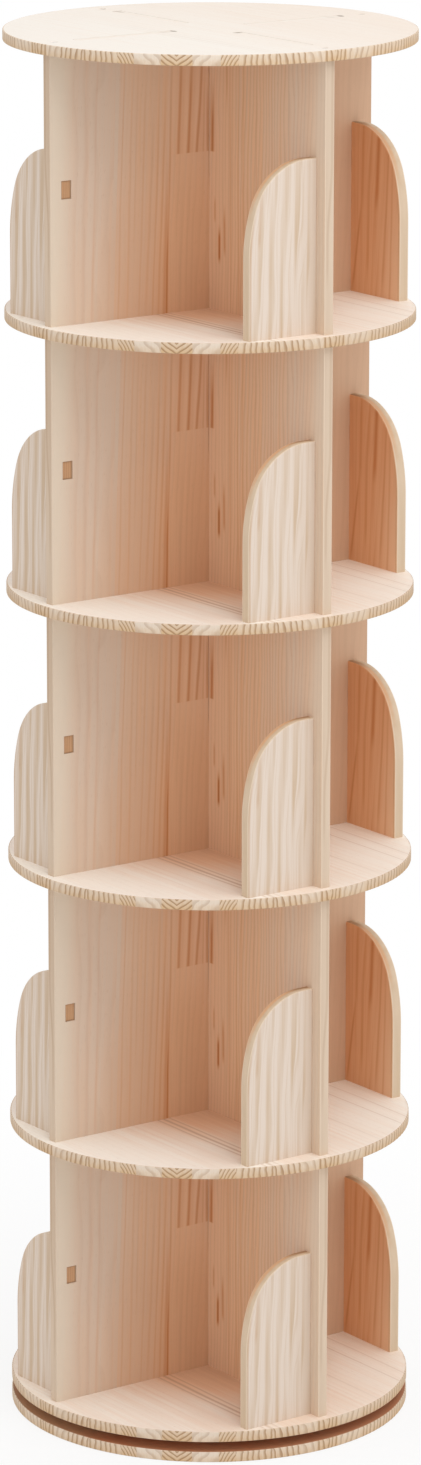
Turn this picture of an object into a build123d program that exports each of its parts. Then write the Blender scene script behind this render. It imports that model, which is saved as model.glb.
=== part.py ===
from build123d import *
import os
from math import cos, radians, sin

# Revolving bookcase: five tiers of crossed boards between round shelves, turning as one on a ball-bearing turntable.
# The axis of turning is Z, the floor is at zero, and the crossed boards lie along X and Y. Sizes are in millimetres.

# Round boards: the base, the shelves and the top
disc_radius = 230
base_thickness = 12
shelf_thickness = 12
rim_round = 1.0

# Tiers
tier_count = 5
tier_clear_height = 300

# Crossed panels, halved into each other at the middle
panel_thickness = 12
panel_inset = 10
panel_edge_round = 0.8
upper_slot_clearance = 0.5
lower_slot_clearance = 0.1

# Tenons of the panels in the round boards
tenon_start_radius = 50
tenon_end_margin = 40
tenon_recess = 0.2
mortise_clearance = 0.15
mortise_end_clearance = 0.8

# Guards at the ends of the panels
guard_thickness = 13
guard_reach = 90
guard_height = 192.5
guard_side_radius = 171
guard_corner_radius = 73
guard_side_turn = 19
guard_setback = 15
guard_edge_round = 1.5
guard_tenon_height = 20
guard_tenon_drop = 42.5
guard_tenon_recess = 1.5

# Dowels under the guards' free ends
dowel_radius = 3
dowel_inset = 26
dowel_depth_in_shelf = 8
dowel_depth_in_guard = 12
dowel_end_gap = 0.5
dowel_clearance = 0.05

# Turntable between the base and the bottom shelf
turntable_height = 12
ball_circle_radius = 125
ball_radius = 3
ball_count = 36
race_clearance = 0.1
ring_width = 21
ring_slit = 2.0
ring_lift = 0.8
ring_round = 0.6
cage_thickness = 1.2
cage_height = 8
pocket_clearance = 0.2

# Countersunk screws, all with the same head and shank
screw_head_radius = 4
screw_shank_radius = 2
screw_tip_length = 4
screw_cross_length = 4.6
screw_cross_width = 1.1
screw_cross_depth = 1.4
screw_clearance = 0.05
screw_end_gap = 0.5
screw_sink = 0.8
panel_screw_inset = 11
panel_screw_bite = 34
ring_screw_bite = 7
base_screw_bite = 8
turntable_screw_count = 4
turntable_screw_turn = 45

# How far every cutting tool runs past the face that it opens
overrun = 1.0

# The four arms of the cross and the direction in which each lies, in degrees about Z
arms = {"left": 180, "front": 270, "right": 0, "back": 90}
arm_count = len(arms)
countersink_angle = 90

# Places that follow from the sizes above
panel_half = disc_radius - panel_inset
tenon_end_radius = panel_half - tenon_end_margin
tenon_length = tenon_end_radius - tenon_start_radius
tenon_middle = (tenon_end_radius + tenon_start_radius) / 2
guard_middle = panel_half - guard_setback - guard_thickness / 2
guard_tenon_middle = guard_height - guard_tenon_drop
guard_dowel_offset = panel_thickness / 2 + guard_reach - dowel_inset
panel_screw_radius = panel_half - panel_screw_inset
bottom_shelf_underside = base_thickness + turntable_height
tier_pitch = tier_clear_height + shelf_thickness
bearing_level = base_thickness + turntable_height / 2
outer_screw_radius = ball_circle_radius + (ring_slit + ring_width) / 2
inner_screw_radius = ball_circle_radius - (ring_slit + ring_width) / 2
ring_height = turntable_height - ring_lift
panel_screw_length = shelf_thickness - screw_sink + panel_screw_bite
base_screw_length = base_thickness - screw_sink + base_screw_bite
ring_screw_length = ring_height - screw_sink + ring_screw_bite


def board_underside(level):
    """Height of the underside of a round board: level 0 is the bottom shelf, the last one is the top board."""
    return bottom_shelf_underside + level * tier_pitch


def facing_up(height):
    """Level plane at a height, with its normal upwards."""
    return Plane(origin=(0, 0, height), x_dir=(1, 0, 0), z_dir=(0, 0, 1))


def facing_down(height):
    """Level plane at a height, with its normal downwards."""
    return Plane(origin=(0, 0, height), x_dir=(1, 0, 0), z_dir=(0, 0, -1))


def write(piece, label):
    """Labels a finished piece and writes it to its own file."""
    piece.label = label
    export_step(piece, f"parts/{label}.step")


def arm_vectors(arm):
    """Unit vectors along an arm and towards the side on which its guard stands."""
    turn = radians(arms[arm])
    along = Vector(cos(turn), sin(turn), 0)
    side = Vector(sin(turn), -cos(turn), 0)
    return along, side


def guard_dowel_places(height):
    """Points at a height on the axes of the dowels under the four guards."""
    places = []
    for arm in arms:
        along, side = arm_vectors(arm)
        places.append(along * guard_middle + side * guard_dowel_offset + Vector(0, 0, height))
    return places


def countersunk_screw(length):
    """One screw, its head's face at the origin and its point downwards."""
    head_depth = screw_head_radius - screw_shank_radius
    with BuildPart() as screw:
        with BuildSketch(Plane.XZ):
            with BuildLine():
                Polyline(
                    (0, 0),
                    (screw_head_radius, 0),
                    (screw_shank_radius, -head_depth),
                    (screw_shank_radius, -(length - screw_tip_length)),
                    (0, -length),
                    close=True,
                )
            make_face()
        revolve(axis=Axis.Z)
        with BuildSketch(Plane.XY):
            Rectangle(screw_cross_length, screw_cross_width)
            Rectangle(screw_cross_width, screw_cross_length)
        extrude(amount=-screw_cross_depth, mode=Mode.SUBTRACT)
    return screw.part


def sunk_hole():
    """Hole through a board for a countersunk screw whose head lies below the face."""
    CounterSinkHole(
        radius=screw_shank_radius + screw_clearance,
        counter_sink_radius=screw_head_radius + screw_sink + screw_clearance,
        counter_sink_angle=countersink_angle,
    )


def pilot_hole(bite):
    """Blind hole that takes the bite of a screw."""
    Hole(radius=screw_shank_radius + screw_clearance, depth=bite + screw_end_gap)


def base_board():
    """Round board on the floor, with sunk screws from below into the turntable's outer ring."""
    with BuildPart() as board:
        with BuildSketch(Plane.XY):
            Circle(disc_radius)
        extrude(amount=base_thickness)
        fillet(board.edges().filter_by(GeomType.CIRCLE), rim_round)
        with Locations(facing_down(0)):
            with PolarLocations(outer_screw_radius, turntable_screw_count, turntable_screw_turn):
                sunk_hole()
    return board.part


def round_board(level):
    """Shelf or top board with a mortise for each arm of the cross, screw holes, and dowel holes for the guards on it."""
    underside = board_underside(level)
    top = underside + shelf_thickness
    is_bottom = level == 0
    is_top = level == tier_count
    with BuildPart() as board:
        with BuildSketch(Plane.XY.offset(underside)):
            Circle(disc_radius)
        extrude(amount=shelf_thickness)
        fillet(board.edges().filter_by(GeomType.CIRCLE), rim_round)
        with BuildSketch(Plane.XY.offset(underside - overrun)):
            with PolarLocations(tenon_middle, arm_count):
                Rectangle(tenon_length + 2 * mortise_end_clearance, panel_thickness + 2 * mortise_clearance)
        extrude(amount=shelf_thickness + 2 * overrun, mode=Mode.SUBTRACT)
        with Locations(facing_down(underside) if is_bottom else facing_up(top)):
            with PolarLocations(panel_screw_radius, arm_count):
                sunk_hole()
        if not is_top:
            with Locations(*guard_dowel_places(top)):
                Hole(radius=dowel_radius + dowel_clearance, depth=dowel_depth_in_shelf)
        if is_bottom:
            with Locations(facing_down(underside)):
                with PolarLocations(inner_screw_radius, turntable_screw_count, turntable_screw_turn):
                    pilot_hole(ring_screw_bite)
    return board.part


def cross_panel(tier, lies_along_x):
    """Full-width panel of a tier. The one along X is slotted from above, the one along Y from below."""
    floor = board_underside(tier) + shelf_thickness
    run = Vector(1, 0, 0) if lies_along_x else Vector(0, 1, 0)
    across = Vector(0, -1, 0) if lies_along_x else Vector(1, 0, 0)
    run_axis = Axis.X if lies_along_x else Axis.Y
    half_tenon = shelf_thickness / 2
    whole_tenon = shelf_thickness - tenon_recess
    foot_tenon = whole_tenon if tier == 0 else half_tenon
    head_tenon = whole_tenon if tier == tier_count - 1 else half_tenon
    slot_clearance = upper_slot_clearance if lies_along_x else lower_slot_clearance
    slot_height = tier_clear_height / 2
    slot_middle = tier_clear_height - slot_height / 2 if lies_along_x else slot_height / 2
    upright = Plane(origin=(0, 0, floor), x_dir=run, z_dir=across)
    ends = (-1, 1)
    with BuildPart() as panel:
        with BuildSketch(upright):
            with Locations((0, tier_clear_height / 2)):
                Rectangle(2 * panel_half, tier_clear_height)
        extrude(amount=panel_thickness / 2, both=True)
        uprights = panel.edges().filter_by(Axis.Z).group_by(run_axis)
        fillet(uprights[0] + uprights[-1], panel_edge_round)
        with BuildSketch(upright):
            for end in ends:
                with Locations((end * tenon_middle, -foot_tenon / 2)):
                    Rectangle(tenon_length, foot_tenon)
                with Locations((end * tenon_middle, tier_clear_height + head_tenon / 2)):
                    Rectangle(tenon_length, head_tenon)
        extrude(amount=panel_thickness / 2, both=True)
        with BuildSketch(upright):
            with Locations((0, slot_middle)):
                Rectangle(panel_thickness + 2 * slot_clearance, slot_height)
            for end in ends:
                with Locations((end * guard_middle, guard_tenon_middle)):
                    Rectangle(
                        guard_thickness + 2 * mortise_clearance,
                        guard_tenon_height + 2 * mortise_clearance,
                    )
        extrude(amount=panel_thickness / 2 + overrun, both=True, mode=Mode.SUBTRACT)
        screw_places = [run * (end * panel_screw_radius) for end in ends]
        with Locations(facing_up(floor + tier_clear_height)):
            with Locations(*screw_places):
                pilot_hole(panel_screw_bite)
        if tier == 0:
            with Locations(facing_down(floor)):
                with Locations(*screw_places):
                    pilot_hole(panel_screw_bite)
    return panel.part


def guard(tier, arm):
    """Upright guard with a rounded outer top corner and a tenon that passes through its panel.

    The corner is a wide arc that leaves the upright edge, then a tighter one that ends level.
    """
    floor = board_underside(tier) + shelf_thickness
    along, side = arm_vectors(arm)
    face = panel_thickness / 2
    outer = face + guard_reach
    corner_foot = guard_height - guard_corner_radius - (guard_side_radius - guard_corner_radius) * sin(
        radians(guard_side_turn)
    )
    tenon_tip = -(face - guard_tenon_recess)
    tenon_top = guard_tenon_middle + guard_tenon_height / 2
    tenon_bottom = guard_tenon_middle - guard_tenon_height / 2
    dowel_place = along * guard_middle + side * guard_dowel_offset
    upright = Plane(origin=along * guard_middle + Vector(0, 0, floor), x_dir=side, z_dir=-along)
    with BuildPart() as board:
        with BuildSketch(upright):
            with BuildLine():
                wide_arc = JernArc((outer, corner_foot), (0, 1), guard_side_radius, guard_side_turn)
                tight_arc = JernArc(wide_arc @ 1, wide_arc % 1, guard_corner_radius, 90 - guard_side_turn)
                Polyline(
                    tight_arc @ 1,
                    (face, guard_height),
                    (face, tenon_top),
                    (tenon_tip, tenon_top),
                    (tenon_tip, tenon_bottom),
                    (face, tenon_bottom),
                    (face, 0),
                    (outer, 0),
                    (outer, corner_foot),
                )
            make_face()
        extrude(amount=guard_thickness / 2, both=True)
        free_edges = board.edges().filter_by(Axis.Z).group_by(Axis((0, 0, 0), side))[-1]
        fillet(board.edges().filter_by(GeomType.CIRCLE) + free_edges, guard_edge_round)
        with Locations(facing_down(floor)):
            with Locations((dowel_place.X, -dowel_place.Y)):
                Hole(radius=dowel_radius + dowel_clearance, depth=dowel_depth_in_guard)
    return board.part


def bearing_ring(inner_radius, outer_radius, underside):
    """Flat ring with a round ball race in the edge that faces the other ring."""
    with BuildPart() as ring:
        with BuildSketch(Plane.XZ):
            with Locations(((inner_radius + outer_radius) / 2, underside + ring_height / 2)):
                Rectangle(outer_radius - inner_radius, ring_height)
        revolve(axis=Axis.Z)
        chamfer(ring.edges().filter_by(GeomType.CIRCLE), ring_round)
        with Locations((0, 0, bearing_level)):
            Torus(ball_circle_radius, ball_radius + race_clearance, mode=Mode.SUBTRACT)
    return ring.part


os.makedirs("parts", exist_ok=True)

# Base and turntable
write(base_board(), "base_board")

slit_half = ring_slit / 2
with BuildPart() as outer_ring:
    add(bearing_ring(ball_circle_radius + slit_half, ball_circle_radius + slit_half + ring_width, base_thickness))
    with Locations(facing_down(base_thickness)):
        with PolarLocations(outer_screw_radius, turntable_screw_count, turntable_screw_turn):
            pilot_hole(base_screw_bite)
write(outer_ring.part, "bearing_outer_ring")

inner_ring_underside = base_thickness + ring_lift
with BuildPart() as inner_ring:
    add(
        bearing_ring(
            ball_circle_radius - slit_half - ring_width, ball_circle_radius - slit_half, inner_ring_underside
        )
    )
    with Locations(facing_down(inner_ring_underside)):
        with PolarLocations(inner_screw_radius, turntable_screw_count, turntable_screw_turn):
            sunk_hole()
write(inner_ring.part, "bearing_inner_ring")

with BuildPart() as bearing_balls:
    with Locations((0, 0, bearing_level)):
        with PolarLocations(ball_circle_radius, ball_count):
            Sphere(ball_radius)
write(bearing_balls.part, "bearing_balls")

with BuildPart() as ball_cage:
    with BuildSketch(Plane.XY.offset(bearing_level - cage_height / 2)):
        Circle(ball_circle_radius + cage_thickness / 2)
        Circle(ball_circle_radius - cage_thickness / 2, mode=Mode.SUBTRACT)
    extrude(amount=cage_height)
    with Locations((0, 0, bearing_level)):
        with PolarLocations(ball_circle_radius, ball_count):
            Cylinder(
                radius=ball_radius + pocket_clearance,
                height=cage_thickness + 2 * overrun,
                rotation=(0, 90, 0),
                mode=Mode.SUBTRACT,
            )
write(ball_cage.part, "ball_cage")

base_screw = countersunk_screw(base_screw_length)
with BuildPart() as base_screws:
    with Locations(facing_down(screw_sink)):
        with PolarLocations(outer_screw_radius, turntable_screw_count, turntable_screw_turn):
            add(base_screw)
write(base_screws.part, "base_screws")

ring_screw = countersunk_screw(ring_screw_length)
with BuildPart() as ring_screws:
    with Locations(facing_down(inner_ring_underside + screw_sink)):
        with PolarLocations(inner_screw_radius, turntable_screw_count, turntable_screw_turn):
            add(ring_screw)
write(ring_screws.part, "ring_screws")

# Round boards of the carcass
board_names = ["bottom_shelf"]
board_names += [f"shelf_{level + 1}" for level in range(1, tier_count)]
board_names += ["top_board"]
for level, board_name in enumerate(board_names):
    write(round_board(level), board_name)

# Crossed panels and guards of each tier, from the bottom up
for tier in range(tier_count):
    tier_name = f"tier_{tier + 1}"
    write(cross_panel(tier, lies_along_x=True), f"{tier_name}_panel_x")
    write(cross_panel(tier, lies_along_x=False), f"{tier_name}_panel_y")
    for arm in arms:
        write(guard(tier, arm), f"{tier_name}_guard_{arm}")

# Screws that hold the round boards to the ends of the panels
panel_screw = countersunk_screw(panel_screw_length)
with BuildPart() as panel_screws:
    with Locations(facing_down(board_underside(0) + screw_sink)):
        with PolarLocations(panel_screw_radius, arm_count):
            add(panel_screw)
    for level in range(1, tier_count + 1):
        with Locations(facing_up(board_underside(level) + shelf_thickness - screw_sink)):
            with PolarLocations(panel_screw_radius, arm_count):
                add(panel_screw)
write(panel_screws.part, "panel_screws")

# Dowels between the guards and the boards that they stand on
dowel_length = dowel_depth_in_shelf + dowel_depth_in_guard - 2 * dowel_end_gap
dowel_middle_rise = (dowel_depth_in_guard - dowel_depth_in_shelf) / 2
with BuildPart() as guard_dowels:
    for tier in range(tier_count):
        floor = board_underside(tier) + shelf_thickness
        with Locations(*guard_dowel_places(floor + dowel_middle_rise)):
            Cylinder(radius=dowel_radius, height=dowel_length)
write(guard_dowels.part, "guard_dowels")
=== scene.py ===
"""Finishes, studio light and camera of the revolving bookcase, laid out as a Blender add-on.

The wood patterns are worked out in millimetres, on Object coordinates, so that they stay on a piece
as it turns.
"""
import math
from collections import namedtuple

import bpy
import numpy as np
from bpy.props import FloatProperty, FloatVectorProperty, PointerProperty
from bpy.types import Operator, Panel, PropertyGroup
from mathutils import Euler, Matrix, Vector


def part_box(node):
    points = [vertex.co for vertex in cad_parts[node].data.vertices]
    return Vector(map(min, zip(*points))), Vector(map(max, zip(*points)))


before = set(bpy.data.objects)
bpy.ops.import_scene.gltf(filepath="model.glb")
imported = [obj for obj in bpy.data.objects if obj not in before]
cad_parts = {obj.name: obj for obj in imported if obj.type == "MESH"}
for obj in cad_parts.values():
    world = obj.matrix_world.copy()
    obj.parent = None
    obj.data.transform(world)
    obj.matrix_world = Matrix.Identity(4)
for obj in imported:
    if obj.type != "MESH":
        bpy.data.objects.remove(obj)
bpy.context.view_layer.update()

bl_info = {
    "name": "Revolving bookcase",
    "version": (1, 0, 0),
    "blender": (4, 5, 0),
    "location": "View3D > Sidebar > Bookcase",
    "description": "Finishes, studio light and camera of a five-tier revolving bookcase",
    "category": "Object",
}

# Sizes read from the frame, in millimetres
MM = 0.001
TIERS = range(1, 6)
ARMS = ("left", "front", "right", "back")
BOARD_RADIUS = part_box("top_board")[1].x / MM
BASE_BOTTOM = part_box("base_board")[0].z / MM
SHELF_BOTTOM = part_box("bottom_shelf")[0].z / MM
SHELF_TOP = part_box("bottom_shelf")[1].z / MM
TIER_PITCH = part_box("shelf_2")[1].z / MM - SHELF_TOP
TOP_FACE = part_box("top_board")[1].z / MM
BOARD_HALF = (SHELF_TOP - SHELF_BOTTOM) / 2
PANEL_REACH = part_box("tier_1_panel_x")[1].x / MM
PANEL_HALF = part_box("tier_1_panel_x")[1].y / MM
GUARD_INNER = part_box("tier_1_guard_right")[0].x / MM
GUARD_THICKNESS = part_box("tier_1_guard_right")[1].x / MM - GUARD_INNER
GUARD_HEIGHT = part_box("tier_1_guard_right")[1].z / MM - SHELF_TOP
GUARD_REACH = -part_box("tier_1_guard_right")[0].y / MM - PANEL_HALF

# Nodes of the frame, by the finish that they share
SHELVES = ("bottom_shelf", "shelf_2", "shelf_3", "shelf_4", "shelf_5")
PANELS_X = tuple(f"tier_{tier}_panel_x" for tier in TIERS)
PANELS_Y = tuple(f"tier_{tier}_panel_y" for tier in TIERS)
GUARDS = tuple(f"tier_{tier}_guard_{arm}" for tier in TIERS for arm in ARMS)
RINGS = ("bearing_outer_ring", "bearing_inner_ring")
SCREWS = ("base_screws", "ring_screws", "panel_screws")

# A zone in which something shows: it goes smoothly from nothing at start to its strength at full, which
# may be the smaller value of the two
Zone = namedtuple("Zone", "start full strength", defaults=(1.0,))

# A stave of an edge-glued board: where it starts, its count of growth lines, how far they lean
# for each millimetre of rise, how strongly they show, and its tone from 0, pale, to 1, honey
Stave = namedtuple("Stave", "start lines lean strength tone")

# A dark streak along the grain: its place across the board, where its foot and head are along the grain,
# half its width, how far it leans to the head, and how strongly it shows
Streak = namedtuple("Streak", "across foot head half_width lean strength")

# A painted shadow on the top board, at the far end of a mortise or screw hole: its place, half its width
# over X and Y, and how strongly it shows
Smudge = namedtuple("Smudge", "x y half_x half_y strength")

# The face of a round board: its palest and warmest wood, how strongly its figure shows, how much warmer its
# middle is, partly as painted shade, how much warmer its +X side is, how much warmer its -Y side is and how
# much painted shadow darkens its outer strip, both in the turntable gap, how much darker its rim is, and
# whether it has painted shadows at the far ends of its mortises
Face = namedtuple(
    "Face",
    "pale honey figure heart drift front outer_strip rim_shade smudges",
    defaults=(0.0, 0.0, 0.0, 0.0, 0.0, False),
)

# What the cross panels of one direction have of their own: whether they lie along X, how far their grain
# leans for each millimetre of height, their staves, flames and streaks, how strongly random figure and
# growth lines show, the zone of painted light at the middle, how pale the sapwood is, and the tone of the
# narrow ends
PanelWood = namedtuple(
    "PanelWood", "along_x lean staves flames streaks figure line_depth fresh sapwood end_tone"
)

# The sizes of one random figure in the wood: across, along and through the board, and its detail
Figure = namedtuple("Figure", "across along through detail")

# The random figures that all bare wood has
Grain = namedtuple("Grain", "cloud wander ripple fine fibre fleck")

# A point of a round board: its place, how far it is from the turning axis and above the middle of the
# board, and the random figures there
BoardPoint = namedtuple("BoardPoint", "x y z radius rise grain")

# A point of a guard: its place over X and Z, how far it is from the panel and from the inner face, which
# side it is near, from -1 inside to 1 outside, its height above the shelf, and the random figures there
GuardPoint = namedtuple("GuardPoint", "x z out through side height grain")

# A finish of the turntable or the screws: how metallic and how rough it is, how much rougher its patches
# are, and how strong its relief is
Polish = namedtuple("Polish", "metallic roughness patches relief")

# Tiers are counted from a little below each piece, so that no face lies where the count steps
TIER_MARGIN = 0.5

# Painted shade: the lowest tier is warmer than the others, most so at its shelf
LOW_TIER_SHADE = Zone(TIER_PITCH, SHELF_TOP, 0.20)

# Random figures of bare wood, which run from 0 to 1, and how much they show in its tone
CLOUD = Figure(60, 260, 60, 1)
WANDER = Figure(34, 150, 30, 2)
RIPPLE = Figure(5.5, 210, 11, 2)
FINE = Figure(1.8, 130, 5, 1)
FIBRE = Figure(0.9, 30, 2, 2)
FLECK = Figure(0.8, 9, 1.2, 0)
FIGURE_MIDDLE = 0.5
CLOUD_TONE = 0.7
RIPPLE_TONE = 1.2
FINE_TONE = 0.7
FLECKS = Zone(0.70, 0.80)
FLECK_DEPTH = 0.16

# A growth line, in shares of the way to the next one: where it is darkest, and how it ends
LINE_DARKEST = 0.88
LINE_END = Zone(1.0, 0.92)

# A streak tapers to its foot and head, in shares of its length, and to its sides, in shares of half its
# width, as a smudge does to its edge
STREAK_FOOT = Zone(0.0, 0.22)
STREAK_HEAD = Zone(1.0, 0.60)
STREAK_SIDE = Zone(1.0, 0.05)
PAINTED_SHADOW_EDGE = Zone(1.0, 0.1)

# Surface of bare wood: what fibres, growth lines and flecks do to its roughness and relief, the depth of
# that relief in millimetres, and how much it reflects
FIBRE_ROUGHNESS = 0.16
LINE_POLISH = 0.08
FIBRE_RISE = 0.5
LINE_RISE = 0.6
FLECK_PIT = 0.5
WOOD_RELIEF = 0.3
WOOD_REFLECTION = 0.25

# How strongly the flecks show in the dowels' beech
DOWEL_FLECKS = 0.6

# Faces of the round boards, across the grain, which runs along Y
BOARD_STAVES = (
    Stave(-BOARD_RADIUS, 9, 0, 0.15, 0.00),
    Stave(-134, 7, 0, 0.25, 0.10),
    Stave(-57, 6, 0, 0.20, 0.30),
    Stave(0, 7, 0, 0.25, 0.16),
    Stave(62, 8, 0, 0.25, 0.05),
    Stave(132, 4, 0, 0.30, 0.02),
    Stave(172, 5, 0, 0.20, 0.02),
)
BOARD_STREAKS = (
    Streak(-77.0, -260, 160, 2.6, 0.0, 0.42),
    Streak(-69.5, -260, 160, 3.4, 0.0, 0.52),
    Streak(-61.5, -260, 160, 2.4, 0.0, 0.40),
    Streak(88.0, -260, 260, 2.4, 0.0, 0.20),
    Streak(143.0, -260, 260, 2.2, 0.0, 0.28),
    Streak(163.0, -260, 260, 2.2, 0.0, 0.26),
)
BOARD_FIGURE = 0.4
BOARD_LINE_START = 0.55
BOARD_LINE_WANDER = 0.9
BOARD_LINE_DEPTH = 0.15
BOARD_STREAK_WANDER = 5.0

# Their zones: warmer around the middle, partly as painted shade, towards +X and towards -Y, and darker
# near the rim, the last two as painted shade of the turntable gap on the base board
HEART_AND_SHADE = Zone(165, 25)
DRIFT = Zone(-120, 170)
FRONT = Zone(-30, -110)
OUTER_SHADOW = Zone(BOARD_RADIUS - 22, BOARD_RADIUS - 2)

# Their mortises and screw holes, by the distance from the turning axis, and the darker wood of the cuts,
# partly painted shade in those recesses
SLOT_START = 50.0
SLOT_END = 180.0
SCREW_CIRCLE = 209.0
SLOT_ENDS = Zone(1.2, 0.6)
SLOT_WIDTH = Zone(PANEL_HALF + 0.5, PANEL_HALF + 0.2, 0.6)
SCREW_HOLE = Zone(4.6, 3.6, 0.45)

# Painted shadows at the far ends of the mortises over the tenons in the top board, and by two of its screws
PAINTED_SHADOWS = (
    Smudge(-51.0, 0.0, 5.0, 5.0, 0.80),
    Smudge(-63.0, -1.5, 15.0, 3.5, 0.26),
    Smudge(0.0, -52.0, 7.0, 4.5, 0.62),
    Smudge(180.0, 0.0, 5.0, 5.5, 0.90),
    Smudge(164.0, -4.0, 15.0, 5.0, 0.20),
    Smudge(-0.5, 173.0, 4.0, 12.0, 0.36),
    Smudge(-3.0, 203.0, 3.5, 6.0, 0.45),
    Smudge(0.0, -SCREW_CIRCLE, 3.6, 3.6, 0.45),
)

# Rims, from one diagonal to the next, where the edges of the staves show their growth lines
RIM_REACH = BOARD_RADIUS * math.sqrt(0.5)
RIM_STAVES = (
    Stave(-RIM_REACH, 2, 1.05, 1.10, 0.50),
    Stave(-150.5, 2, 0.66, 0.40, 0.00),
    Stave(-127, 4, 0.53, 1.00, 0.45),
    Stave(-110.5, 6, 0.02, 0.90, 0.35),
    Stave(-71, 5, -0.21, 0.95, 0.30),
    Stave(-37, 2, -0.55, 0.50, 0.20),
    Stave(-14, 2, -0.22, 1.00, 0.50),
    Stave(-1, 3, 0.20, 1.00, 0.50),
    Stave(15, 4, 0.32, 0.55, 0.25),
    Stave(50, 10, 0.04, 0.85, 0.40),
    Stave(118, 8, -0.05, 0.85, 0.55),
)
RIM_WANDER = Figure(13, 16, 30, 1)
RIM_GRAIN = Figure(1.6, 6, 3, 1)
RIM_GRAIN_TONE = 0.6
RIM_LINE_START = 0.42
RIM_LINE_WANDER = 1.1
RIM_LINE_DEPTH = 0.8
# Painted shade: the rims are warmer and darker towards their foot
RIM_FOOT_SHADE = Zone(5, -6, 0.4)
# The rims' arrises are paler, as wear and a painted highlight
RIM_ARRIS = Zone(BOARD_HALF - 1.2, BOARD_HALF - 0.5, 0.1)
RIM_SKIN = Zone(BOARD_RADIUS - 1.5, BOARD_RADIUS - 1.0)

# Cross panels, across the grain, which runs upwards. They are warmer towards the middle, partly as painted
# shade of the inner corners, less so towards the head, and pale at the -X or -Y end. The darkest parts of
# their streaks are resin
PANEL_WARMTH = 0.55
PANEL_HEART_AND_SHADE = Zone(165, 20)
PANEL_HEAD = Zone(110, 240, 0.16)
PANEL_LINE_START = 0.40
PANEL_LINE_WANDER = 2.4
PANEL_STREAK_WANDER = 4.0
SAPWOOD = Zone(36 - PANEL_REACH, 8 - PANEL_REACH)
RESIN = Zone(0.55, 1.0, 0.8)

# A finger joint across the inner staves: the flames show above it only
JOINT_HEIGHT = 176.5
JOINT_REACH = 60.0
JOINT = Zone(JOINT_HEIGHT - 0.8, JOINT_HEIGHT + 0.8)

# Zones of the panels along X: warmer above the joint, warmer at the foot as painted shade, darker between
# the middle and the ends low down as painted shade, duller at the +X end, and with painted light on the
# middle in the upper part
JOINT_SIDE = Zone(JOINT_REACH + 1, JOINT_REACH - 1, 0.06)
FOOT_SHADE = Zone(170, 10)
FOOT_SHADE_SIDE = Zone(160, 120)
FOOT_SHADE_TONE = 0.25
FOOT_SHADE_AMBER = 0.2
LOW_SHADE_INNER = Zone(60, 90)
LOW_SHADE_OUTER = Zone(165, 125)
LOW_SHADE_FOOT = Zone(210, 60, 0.4)
FAR_END = Zone(90, 140, 0.5)
PAINTED_LIGHT_HEAD = Zone(90, 220)

# The wood of the panels along X and of those along Y
PANEL_X = PanelWood(
    along_x=True,
    lean=0.034,
    staves=(
        Stave(-PANEL_REACH, 5, 0, 0.35, 0.05),
        Stave(-136, 0, 0, 0.00, -0.10),
        Stave(-132, 11, 0, 0.18, 0.38),
        Stave(-60.5, 8, 0, 0.40, 0.42),
        Stave(0, 8, 0, 0.40, 0.45),
        Stave(64, 9, 0, 0.50, 0.90),
        Stave(138, 9, 0, 0.50, 1.20),
    ),
    flames=(
        Streak(-51.0, 110, 340, 3.6, 9.0, 0.62),
        Streak(-39.0, 100, 330, 4.0, 12.0, 0.68),
        Streak(-28.0, 110, 360, 3.4, 18.0, 0.62),
        Streak(-15.5, 120, 300, 2.2, 3.0, 0.30),
        Streak(-8.2, 120, 270, 3.2, 0.0, 0.56),
        Streak(-47.5, 110, 330, 6.0, 9.0, 0.12),
        Streak(-35.0, 100, 330, 6.0, 12.0, 0.15),
        Streak(-24.0, 110, 350, 6.0, 17.0, 0.14),
    ),
    streaks=(
        Streak(-6.6, 110, 470, 1.3, 0.0, 0.45),
        Streak(-70.0, -90, 200, 4.2, 8.0, 0.50),
        Streak(-67.5, -110, 160, 2.8, 7.0, 0.80),
        Streak(-63.0, 40, 330, 2.4, 7.0, 0.40),
        Streak(-77.5, -50, 290, 2.4, 14.0, 0.36),
        Streak(-85.0, -50, 300, 2.0, 14.0, 0.32),
        Streak(-93.5, -20, 260, 3.0, 14.0, 0.20),
        Streak(-104.0, -50, 320, 2.0, 15.0, 0.22),
        Streak(-109.5, 60, 320, 1.8, 10.0, 0.16),
        Streak(-120.0, -50, 320, 2.4, 13.0, 0.17),
        Streak(-133.0, -90, 420, 1.8, 17.0, 0.22),
        Streak(-168.0, -90, 420, 2.0, 17.0, 0.14),
        Streak(-181.0, -90, 420, 5.0, 17.0, 0.10),
    ),
    figure=0.6,
    line_depth=0.22,
    fresh=Zone(90, 20, 0.45),
    sapwood=0.9,
    end_tone=0.35,
)
PANEL_Y = PanelWood(
    along_x=False,
    lean=-0.02,
    staves=(
        Stave(-PANEL_REACH, 9, 0, 0.60, 0.36),
        Stave(-156, 12, 0, 0.80, 0.56),
        Stave(-84, 14, 0, 0.85, 0.52),
        Stave(0, 12, 0, 0.70, 0.45),
        Stave(72, 12, 0, 0.65, 0.35),
        Stave(150, 10, 0, 0.55, 0.20),
    ),
    flames=(
        Streak(-11.5, 112, 268, 5.6, -1.5, 0.80),
        Streak(-40.0, 215, 430, 3.4, 4.0, 0.36),
    ),
    streaks=(
        Streak(-24.8, 50, 100, 4.0, 0.0, 0.94),
        Streak(-34.8, 58, 124, 3.4, 0.5, 0.66),
        Streak(-17.0, 96, 130, 2.8, 0.0, 0.52),
        Streak(-47.0, -40, 330, 2.0, 2.0, 0.34),
        Streak(-62.0, -40, 330, 2.0, 2.0, 0.32),
        Streak(-71.0, -40, 330, 1.8, 2.0, 0.28),
        Streak(-95.0, -40, 330, 2.2, 2.0, 0.28),
        Streak(-124.0, -40, 330, 2.2, 2.0, 0.24),
    ),
    figure=0.9,
    line_depth=0.30,
    fresh=Zone(80, 20, 0.3),
    sapwood=0.5,
    end_tone=0.08,
)
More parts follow.
